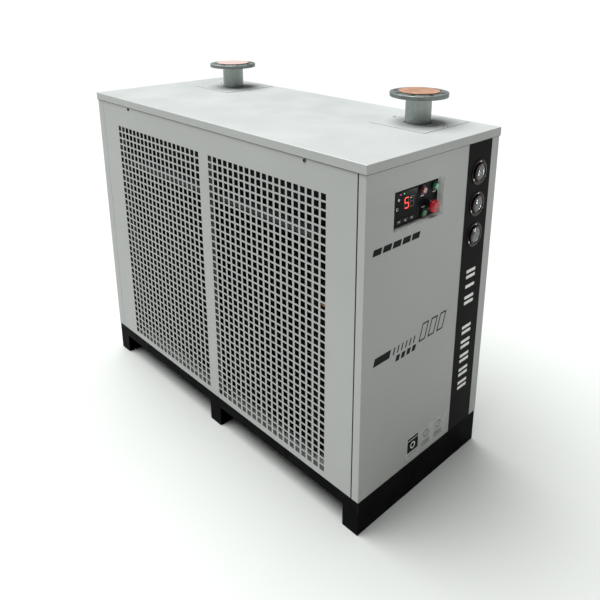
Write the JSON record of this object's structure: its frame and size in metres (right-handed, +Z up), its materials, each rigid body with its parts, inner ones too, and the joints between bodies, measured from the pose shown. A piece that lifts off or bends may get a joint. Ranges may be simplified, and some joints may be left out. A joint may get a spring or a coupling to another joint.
{
  "type": "refrigerated air dryer",
  "caption": "Refrigerated compressed-air dryer: sheet-metal cabinet on a skid base, punched side grilles, flanged pipes through the lid, gauges and a recessed control window on one end.",
  "frame": {"origin": "on the floor under the middle of the cabinet, on the underside of the middle skid", "axes": "+Z up, +X along the cabinet towards the control end, -Y towards the condenser grilles"},
  "size_m": [1.579, 0.67, 1.349],
  "materials": {
    "body_paint": "light grey powder coat, satin",
    "base_paint": "black paint, semi-gloss",
    "strip_black": "black decorative strip",
    "screw_black": "blackened steel",
    "galvanised_steel": "galvanised, dull",
    "disc_tan": "tan protective disc",
    "gauge_case": "dark polished metal",
    "gauge_dial": "pale dial",
    "gauge_glass": "clear",
    "pointer_black": "matt black",
    "tray_paint": "light grey powder coat with a dark switch plate",
    "controller_black": "black moulded plastic",
    "controller_window": "dark display window",
    "key_black": "moulded key caps",
    "lamp_red": "red lamp lens",
    "lamp_green": "green lamp lens",
    "button_green": "green button",
    "stop_red": "red mushroom head",
    "collar_black": "black collars",
    "box_grey": "grey sheet box",
    "relay_plastic": "moulded relays and terminals",
    "coil_fins": "dark fins in a pale frame",
    "shroud_sheet": "dark sheet",
    "motor_black": "black motor housings",
    "fan_black": "black pressed blades",
    "insulation": "black foam insulation jacket",
    "vessel_paint": "dark grey vessels",
    "brass": "machined brass",
    "lever_red": "lever with a red sleeve",
    "compressor_black": "gloss black shell",
    "rubber_black": "rubber mounts",
    "copper": "copper tube",
    "gland_plastic": "nylon"
  },
  "bodies": {
    "cabinet": {"base_frame": "base_paint", "base_skids": "base_paint", "floor_pan": "body_paint", "cabinet_frame": "body_paint", "lid": "body_paint", "inlet_cover_plate": "body_paint", "outlet_cover_plate": "body_paint", "grille_side_panel": "body_paint", "back_side_panel": "body_paint", "control_end_panel": "body_paint", "rear_end_panel": "body_paint", "gauge_strip": "strip_black", "control_tray": "tray_paint", "panel_screws": "screw_black", "controller_case": "controller_black", "controller_window": "controller_window", "fault_lamp": "lamp_red", "run_lamp": "lamp_green", "switch_collars": "collar_black", "electrical_box": "box_grey", "contactor": "relay_plastic", "suction_gauge_case": "gauge_case", "discharge_gauge_case": "gauge_case", "air_gauge_case": "gauge_case", "gauge_dials": "gauge_dial", "gauge_lenses": "gauge_glass", "compressor": "compressor_black", "compressor_grommets": "rubber_black", "condenser_coil": "coil_fins", "fan_shroud": "shroud_sheet", "fan_motors": "motor_black", "heat_exchanger": "insulation", "moisture_separator": "vessel_paint", "automatic_drain": "brass", "drain_valve": "brass", "filter_drier": "copper", "liquid_receiver": "vessel_paint", "expansion_valve": "brass", "suction_line": "copper", "discharge_line": "copper", "liquid_line": "copper", "inlet_pipe": "galvanised_steel", "outlet_pipe": "galvanised_steel", "inlet_flange": "galvanised_steel", "outlet_flange": "galvanised_steel", "cable_gland": "gland_plastic"},
    "left_fan": {"left_fan": "fan_black"},
    "right_fan": {"right_fan": "fan_black"},
    "suction_gauge_pointer": {"suction_gauge_pointer": "pointer_black"},
    "discharge_gauge_pointer": {"discharge_gauge_pointer": "pointer_black"},
    "air_gauge_pointer": {"air_gauge_pointer": "pointer_black"},
    "key_set": {"key_set": "key_black"},
    "key_up": {"key_up": "key_black"},
    "key_down": {"key_down": "key_black"},
    "start_button": {"start_button": "button_green"},
    "emergency_stop_plunger": {"emergency_stop_plunger": "collar_black"},
    "emergency_stop_head": {"emergency_stop_head": "stop_red"},
    "drain_lever": {"drain_lever": "lever_red"},
    "inlet_disc": {"inlet_disc": "disc_tan"},
    "outlet_disc": {"outlet_disc": "disc_tan"}
  },
  "joints": [
    {"name": "left_fan_spin", "type": "hinge", "parent": "cabinet", "child": "left_fan", "pos_m": [-0.321, -0.156, 0.565], "axis": [0, 1, 0], "continuous": true},
    {"name": "right_fan_spin", "type": "hinge", "parent": "cabinet", "child": "right_fan", "pos_m": [0.249, -0.156, 0.565], "axis": [0, 1, 0], "continuous": true},
    {"name": "suction_gauge_turn", "type": "hinge", "parent": "cabinet", "child": "suction_gauge_pointer", "pos_m": [0.7722, 0.221, 1.106], "axis": [-1, 0, 0], "range_deg": [-165, 105], "stiffness_Nm_per_rad": 0.001},
    {"name": "discharge_gauge_turn", "type": "hinge", "parent": "cabinet", "child": "discharge_gauge_pointer", "pos_m": [0.7722, 0.221, 0.9965], "axis": [-1, 0, 0], "range_deg": [-130, 140], "stiffness_Nm_per_rad": 0.001},
    {"name": "air_gauge_turn", "type": "hinge", "parent": "cabinet", "child": "air_gauge_pointer", "pos_m": [0.7722, 0.221, 0.887], "axis": [-1, 0, 0], "range_deg": [-45, 225], "stiffness_Nm_per_rad": 0.001},
    {"name": "key_set_press", "type": "slide", "parent": "cabinet", "child": "key_set", "axis": [-1, 0, 0], "range_m": [0, 0.0008], "stiffness_N_per_m": 500, "springref_m": -0.0005},
    {"name": "key_up_press", "type": "slide", "parent": "cabinet", "child": "key_up", "axis": [-1, 0, 0], "range_m": [0, 0.0008], "stiffness_N_per_m": 500, "springref_m": -0.0005},
    {"name": "key_down_press", "type": "slide", "parent": "cabinet", "child": "key_down", "axis": [-1, 0, 0], "range_m": [0, 0.0008], "stiffness_N_per_m": 500, "springref_m": -0.0005},
    {"name": "start_button_press", "type": "slide", "parent": "cabinet", "child": "start_button", "axis": [-1, 0, 0], "range_m": [0, 0.0035], "stiffness_N_per_m": 600, "springref_m": -0.0015},
    {"name": "emergency_stop_press", "type": "slide", "parent": "cabinet", "child": "emergency_stop_plunger", "axis": [-1, 0, 0], "range_m": [0, 0.005]},
    {"name": "emergency_stop_twist", "type": "hinge", "parent": "emergency_stop_plunger", "child": "emergency_stop_head", "pos_m": [0.77, -0.02, 1.048], "axis": [-1, 0, 0], "range_deg": [0, 35], "stiffness_Nm_per_rad": 0.05},
    {"name": "drain_lever_turn", "type": "hinge", "parent": "cabinet", "child": "drain_lever", "pos_m": [-0.655, 0.15, 0.235], "axis": [0, 0, 1], "range_deg": [0, 90]},
    {"name": "inlet_disc_lift", "type": "slide", "parent": "cabinet", "child": "inlet_disc", "axis": [0, 0, 1], "range_m": [0, 0.05]},
    {"name": "outlet_disc_lift", "type": "slide", "parent": "cabinet", "child": "outlet_disc", "axis": [0, 0, 1], "range_m": [0, 0.05]}
  ]
}
